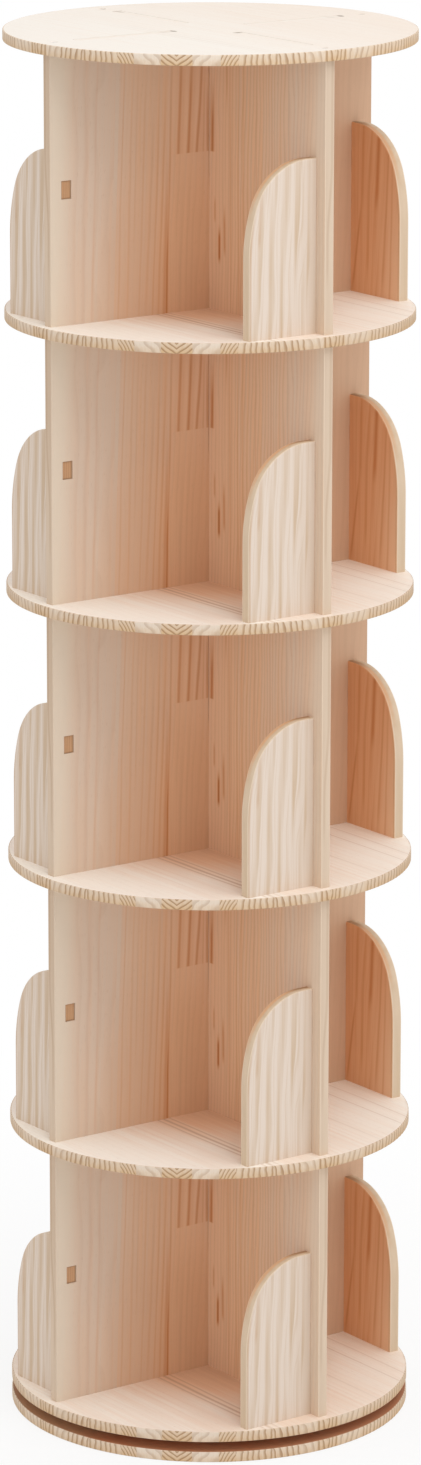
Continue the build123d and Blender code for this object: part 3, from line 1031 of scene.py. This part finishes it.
class PineLook(PropertyGroup):
    """Colours and surface of the bare pine, and the dowels' beech."""

    board_pale: colour_property("Pale shelf", "Palest wood on the shelves", (0.95, 0.885, 0.80))
    board_honey: colour_property("Honey shelf", "Warmest wood on the shelves", (0.82, 0.55, 0.38))
    top_pale: colour_property("Pale top", "Palest wood on the top board", (0.82, 0.76, 0.69))
    top_honey: colour_property("Honey top", "Warmest wood on the top board", (0.785, 0.635, 0.52))
    # Painted shade: the base board's faces are dark and warm, as only their outer part shows, in the
    # turntable gap
    base_shaded_pale: colour_property("Pale base", "Palest wood on the base board", (0.53, 0.31, 0.17))
    base_shaded_honey: colour_property("Honey base", "Warmest wood on the base board", (0.58, 0.215, 0.10))
    base_shadow: colour_property("Base shadow", "Outer strip of the base board", (0.30, 0.115, 0.045))
    rim_pale: colour_property("Pale rim", "Palest staves of the rims", (0.785, 0.675, 0.562))
    rim_honey: colour_property("Honey rim", "Warmest staves of the rims", (0.66, 0.45, 0.25))
    rim_line: colour_property("Rim line", "Growth lines of the rims", (0.35, 0.19, 0.085))
    # Paler arrises: wear and a painted highlight on the rounded edges
    worn_edge_and_highlight: colour_property("Worn edge", "Rubbed arrises", (0.84, 0.72, 0.57))
    panel_pale: colour_property("Pale panel", "Palest staves of the panels", (0.695, 0.547, 0.432))
    panel_honey: colour_property("Honey panel", "Warmest staves of the panels", (0.775, 0.485, 0.3))
    panel_amber: colour_property("Amber panel", "Darkest staves of the panels", (0.60, 0.37, 0.23))
    # Painted light on the middle of the panels, where they cross at the inner corners
    panel_painted_light: colour_property("Fresh panel", "Lighter wood where the panels cross", (0.90, 0.62, 0.44))
    # Painted shade low on the panels along X, and the duller tone of their +X end
    panel_dull_and_shade: colour_property("Dull panel", "Duller wood of the panels along X", (0.62, 0.43, 0.31))
    panel_sap: colour_property("Panel sapwood", "Pale end of the panels' faces", (0.74, 0.635, 0.51))
    guard_pale: colour_property("Pale guard", "Outer faces of the guards", (0.745, 0.635, 0.545))
    guard_band: colour_property("Guard band", "Bands of the outer faces", (0.61, 0.46, 0.325))
    # The inner faces are warmer than the outer ones partly as painted shade of light bounced in the
    # compartments
    guard_inside: colour_property("Guard inside", "Inner faces of the guards", (0.835, 0.49, 0.285))
    guard_inside_band: colour_property("Inside band", "Bands of the inner faces", (0.75, 0.37, 0.18))
    # Lighter inner faces towards the foot of their free side
    guard_inside_pale: colour_property("Inside, pale", "Bleached inner faces", (0.88, 0.60, 0.40))
    guard_inside_streak: colour_property("Inside streak", "Streaks inside the guards", (0.62, 0.25, 0.09))
    # The wedge is a dark streak in the wood; the lip and the line by the panel are painted shadow
    guard_wedge_and_shade: colour_property("Guard wedge", "Dark wedge and lip of the guards", (0.52, 0.31, 0.16))
    guard_edge: colour_property("Guard edge", "Narrow edges of the guards", (0.71, 0.568, 0.425))
    guard_edge_shade: colour_property("Guard edge shade", "Darker grain on them", (0.57, 0.41, 0.255))
    edge_pale: colour_property("Panel edge", "Narrow ends of the panels", (0.70, 0.56, 0.43))
    edge_shade: colour_property("Panel edge shade", "Darker grain on them", (0.54, 0.39, 0.27))
    late_wood: colour_property("Late wood", "Dark growth lines on the faces", (0.42, 0.22, 0.10))
    streak: colour_property("Streak", "Soft dark streaks on the panels", (0.57, 0.235, 0.085))
    resin: colour_property("Resin", "Darkest parts of the streaks", (0.47, 0.16, 0.04))
    # Painted shadow at the far ends of the top board's mortises and screw holes
    smudge: colour_property("Smudge", "Smudges on the top board", (0.17, 0.12, 0.08))
    # Darker cut walls, partly painted shade in the recesses; also the painted shade at the arch tops by the
    # panels and the dark border of the tenon ends
    cut_wall_and_shade: colour_property("Cut wall", "Walls of mortises and holes", (0.30, 0.17, 0.09))
    end_grain: colour_property("End grain", "Ends of the guards' tenons", (0.58, 0.34, 0.19))
    beech: colour_property("Beech", "Dowels", (0.62, 0.42, 0.27))
    roughness: share_property("Roughness", "Roughness of the bare wood", 0.58)
    fibre_relief: share_property("Fibre relief", "How far the fibres stand out", 0.35)


class TurntableLook(PropertyGroup):
    """Colours of the turntable and the screws."""

    aluminium: colour_property("Aluminium", "Turned rings", (0.80, 0.81, 0.82))
    aluminium_dull: colour_property("Dull aluminium", "Oxidised patches of the rings", (0.62, 0.63, 0.65))
    steel: colour_property("Bearing steel", "Balls", (0.70, 0.70, 0.71))
    steel_dull: colour_property("Oiled steel", "Oil on the balls", (0.45, 0.44, 0.42))
    zinc: colour_property("Zinc", "Plated screws", (0.72, 0.73, 0.74))
    zinc_dull: colour_property("Dull zinc", "Handled patches of the screws", (0.50, 0.51, 0.53))
    nylon: colour_property("Nylon", "Ball cage", (0.74, 0.73, 0.68))
    nylon_shade: colour_property("Nylon shade", "Mottling of the cage", (0.62, 0.61, 0.56))


class StudioSetup(PropertyGroup):
    """Camera, light and floor."""

    azimuth: angle_property("Azimuth", "Camera's way round the bookcase", -35.9)
    tilt: angle_property("Tilt", "How far the camera looks down", 13.959)
    roll: angle_property("Roll", "How far the camera leans over", 0.0605)
    aim: angle_property("Aim", "How far the camera points to the right of the turning axis", 0.0063)
    distance: FloatProperty(
        name="Distance",
        description="From the turning axis to the camera, level",
        default=6.6044,
        unit="LENGTH",
    )
    eye: FloatProperty(
        name="Eye above top",
        description="Camera's height above the top board",
        default=0.8395,
        unit="LENGTH",
    )
    lens: FloatProperty(
        name="Lens",
        description="Focal length in millimetres",
        default=147.1,
        subtype="DISTANCE_CAMERA",
    )
    dome: FloatProperty(
        name="Dome",
        description="Even light from all round",
        default=0.913,
        min=0.0,
    )
    key: FloatProperty(
        name="Key",
        description="Power of the large front lamp",
        default=73.0,
        unit="POWER",
    )
    floor: colour_property("Floor", "Pale studio floor", (0.86, 0.85, 0.84))


def seen_directly(f):
    """1 for rays that show the surroundings to the camera, straight or in a mirror or glass."""
    path = f.node("LightPath", out="Is Camera Ray")
    outputs = path.socket.node.outputs
    shown = f.larger(path, Wire(f, outputs["Is Glossy Ray"]))
    return f.larger(shown, Wire(f, outputs["Is Transmission Ray"]))


def white_surroundings(scene, strength):
    """An even dome that looks white to the camera."""
    world = bpy.data.worlds.new("white_dome")
    world.use_nodes = True
    scene.world = world
    f = Finish(world.node_tree)
    dome = f.node("Background", None, {"Color": rgba(WHITE), "Strength": strength})
    backdrop = f.node("Background", None, {"Color": rgba(WHITE), "Strength": 1.0})
    surroundings = f.node("MixShader", None, {0: seen_directly(f), 1: dome, 2: backdrop})
    f.node("OutputWorld", None, {"Surface": surroundings})


def floor_finish(colour):
    """Matt in that colour for the light, and nearly white to the camera."""
    f, material = new_finish("studio_floor")
    x, y, z = f.place()
    whiteness = f.fade(f.length(x, y), FLOOR_WHITE_GAIN) + FLOOR_WHITE_NEAR
    matt = f.node("BsdfDiffuse", None, {"Color": rgba(colour)})
    white = f.node("Emission", None, {"Color": rgba(WHITE), "Strength": 1.0})
    surface = f.node("MixShader", None, {0: seen_directly(f) * whiteness, 1: matt, 2: white})
    f.node("OutputMaterial", None, {"Surface": surface})
    return material


def studio_floor(colour):
    """A wide round floor of rings and spokes: the point at ring r and spoke a is (r cos a, r sin a)."""
    radius = np.linspace(FLOOR_HUB, FLOOR_REACH, FLOOR_RINGS)
    angle = np.linspace(0, 2 * math.pi, FLOOR_SPOKES, endpoint=False)
    across = np.outer(radius, np.cos(angle)).ravel()
    along = np.outer(radius, np.sin(angle)).ravel()
    points = np.column_stack([across, along, np.full(across.size, FLOOR_LEVEL)])
    ring, spoke = np.meshgrid(np.arange(FLOOR_RINGS - 1), np.arange(FLOOR_SPOKES), indexing="ij")
    beside = (spoke + 1) % FLOOR_SPOKES
    inner = ring * FLOOR_SPOKES
    outer = inner + FLOOR_SPOKES
    quads = np.stack([inner + spoke, outer + spoke, outer + beside, inner + beside], axis=-1)
    hub = list(range(FLOOR_SPOKES))
    mesh = bpy.data.meshes.new("studio_floor")
    mesh.from_pydata(points.tolist(), [], quads.reshape(-1, 4).tolist() + [hub])
    mesh.update()
    mesh.materials.append(floor_finish(colour))
    floor = bpy.data.objects.new("studio_floor", mesh)
    bpy.context.scene.collection.objects.link(floor)


def front_lamp(power):
    """A large square lamp that points at the middle of the bookcase from in front and above."""
    light = bpy.data.lights.new("front_lamp", "AREA")
    light.energy = power
    light.shape = "SQUARE"
    light.size = LAMP_SIZE
    holder = bpy.data.objects.new("front_lamp", light)
    bpy.context.scene.collection.objects.link(holder)
    level = LAMP_DISTANCE * math.cos(LAMP_ELEVATION)
    holder.location = (
        level * math.sin(LAMP_AZIMUTH),
        -level * math.cos(LAMP_AZIMUTH),
        TOP_FACE * MM / 2 + LAMP_DISTANCE * math.sin(LAMP_ELEVATION),
    )
    holder.rotation_euler = (math.pi / 2 - LAMP_ELEVATION, 0, LAMP_AZIMUTH)


def photo_camera(scene, setup):
    """The camera, at the photograph's viewing angle."""
    camera = bpy.data.cameras.new("camera")
    camera.sensor_width = SENSOR_WIDTH
    camera.lens = setup.lens
    camera.clip_end = FARTHEST_SEEN
    holder = bpy.data.objects.new("camera", camera)
    scene.collection.objects.link(holder)
    holder.location = (
        setup.distance * math.sin(setup.azimuth),
        -setup.distance * math.cos(setup.azimuth),
        TOP_FACE * MM + setup.eye,
    )
    turned = Euler((math.pi / 2 - setup.tilt, 0, setup.azimuth - setup.aim)).to_matrix()
    holder.rotation_euler = (turned @ Matrix.Rotation(setup.roll, 3, "Z")).to_euler()
    scene.camera = holder


class BOOKCASE_OT_round_boards(Operator):
    """Finish the base board, the shelves and the top board"""

    bl_idname = "bookcase.round_boards"
    bl_label = "Round boards"

    def execute(self, context):
        look = context.scene.bookcase_pine
        shelf = Face(look.board_pale, look.board_honey, figure=1.0, heart=0.9, rim_shade=0.09)
        dress(SHELVES, round_board_finish(look, "pine_shelves", SHELF_BOTTOM, shelf))
        top = Face(look.top_pale, look.top_honey, figure=0.2, drift=0.4, smudges=True)
        dress(["top_board"], round_board_finish(look, "pine_top", SHELF_BOTTOM, top))
        base = Face(
            look.base_shaded_pale, look.base_shaded_honey, figure=0.5, front=1.0, outer_strip=0.4, rim_shade=0.04
        )
        dress(["base_board"], round_board_finish(look, "pine_base", BASE_BOTTOM, base))
        return {"FINISHED"}


class BOOKCASE_OT_cross_panels(Operator):
    """Finish the upright panels that cross on every tier"""

    bl_idname = "bookcase.cross_panels"
    bl_label = "Cross panels"

    def execute(self, context):
        look = context.scene.bookcase_pine
        dress(PANELS_X, cross_panel_finish(look, "pine_panels_x", PANEL_X))
        dress(PANELS_Y, cross_panel_finish(look, "pine_panels_y", PANEL_Y))
        return {"FINISHED"}


class BOOKCASE_OT_guards(Operator):
    """Finish the rounded guards at the ends of the panels"""

    bl_idname = "bookcase.guards"
    bl_label = "Guards"

    def execute(self, context):
        dress(GUARDS, guard_finish(context.scene.bookcase_pine, "pine_guards"))
        return {"FINISHED"}


class BOOKCASE_OT_dowels(Operator):
    """Finish the dowels under the guards"""

    bl_idname = "bookcase.dowels"
    bl_label = "Dowels"

    def execute(self, context):
        dress(["guard_dowels"], dowel_finish(context.scene.bookcase_pine, "beech_dowels"))
        return {"FINISHED"}


class BOOKCASE_OT_turntable(Operator):
    """Finish the rings, balls and cage of the turntable"""

    bl_idname = "bookcase.turntable"
    bl_label = "Turntable"

    def execute(self, context):
        look = context.scene.bookcase_turntable
        dress(RINGS, ring_finish(look, "turned_aluminium"))
        balls = polished_finish("bearing_steel", look.steel, look.steel_dull, BALL_OIL, BALL_POLISH)
        dress(["bearing_balls"], balls)
        dress(["ball_cage"], cage_finish(look, "cage_nylon"))
        return {"FINISHED"}


class BOOKCASE_OT_screws(Operator):
    """Finish all the screws"""

    bl_idname = "bookcase.screws"
    bl_label = "Screws"

    def execute(self, context):
        look = context.scene.bookcase_turntable
        plated = polished_finish("plated_screws", look.zinc, look.zinc_dull, SCREW_HANDLING, SCREW_POLISH)
        dress(SCREWS, plated)
        return {"FINISHED"}


class BOOKCASE_OT_studio(Operator):
    """Set up the floor, the light and the camera"""

    bl_idname = "bookcase.studio"
    bl_label = "Studio"

    def execute(self, context):
        scene = context.scene
        setup = scene.bookcase_studio
        scene.view_settings.view_transform = "Standard"
        white_surroundings(scene, setup.dome)
        studio_floor(setup.floor)
        front_lamp(setup.key)
        photo_camera(scene, setup)
        return {"FINISHED"}


OPERATORS = (
    BOOKCASE_OT_round_boards,
    BOOKCASE_OT_cross_panels,
    BOOKCASE_OT_guards,
    BOOKCASE_OT_dowels,
    BOOKCASE_OT_turntable,
    BOOKCASE_OT_screws,
    BOOKCASE_OT_studio,
)


class BOOKCASE_PT_sidebar(Panel):
    """Lists the steps and their settings"""

    bl_idname = "BOOKCASE_PT_sidebar"
    bl_label = "Revolving bookcase"
    bl_space_type = "VIEW_3D"
    bl_region_type = "UI"
    bl_category = "Bookcase"

    def draw(self, context):
        for operator in OPERATORS:
            self.layout.operator(operator.bl_idname)
        for group in (
            context.scene.bookcase_pine,
            context.scene.bookcase_turntable,
            context.scene.bookcase_studio,
        ):
            box = self.layout.box()
            for name in group.bl_rna.properties.keys():
                if name not in {"rna_type", "name"}:
                    box.prop(group, name)


CLASSES = (PineLook, TurntableLook, StudioSetup, *OPERATORS, BOOKCASE_PT_sidebar)


def register():
    for kind in CLASSES:
        bpy.utils.register_class(kind)
    bpy.types.Scene.bookcase_pine = PointerProperty(type=PineLook)
    bpy.types.Scene.bookcase_turntable = PointerProperty(type=TurntableLook)
    bpy.types.Scene.bookcase_studio = PointerProperty(type=StudioSetup)


def unregister():
    del bpy.types.Scene.bookcase_pine
    del bpy.types.Scene.bookcase_turntable
    del bpy.types.Scene.bookcase_studio
    for kind in reversed(CLASSES):
        bpy.utils.unregister_class(kind)


def main():
    register()
    bpy.ops.bookcase.round_boards()
    bpy.ops.bookcase.cross_panels()
    bpy.ops.bookcase.guards()
    bpy.ops.bookcase.dowels()
    bpy.ops.bookcase.turntable()
    bpy.ops.bookcase.screws()
    bpy.ops.bookcase.studio()


if __name__ == "__main__":
    main()
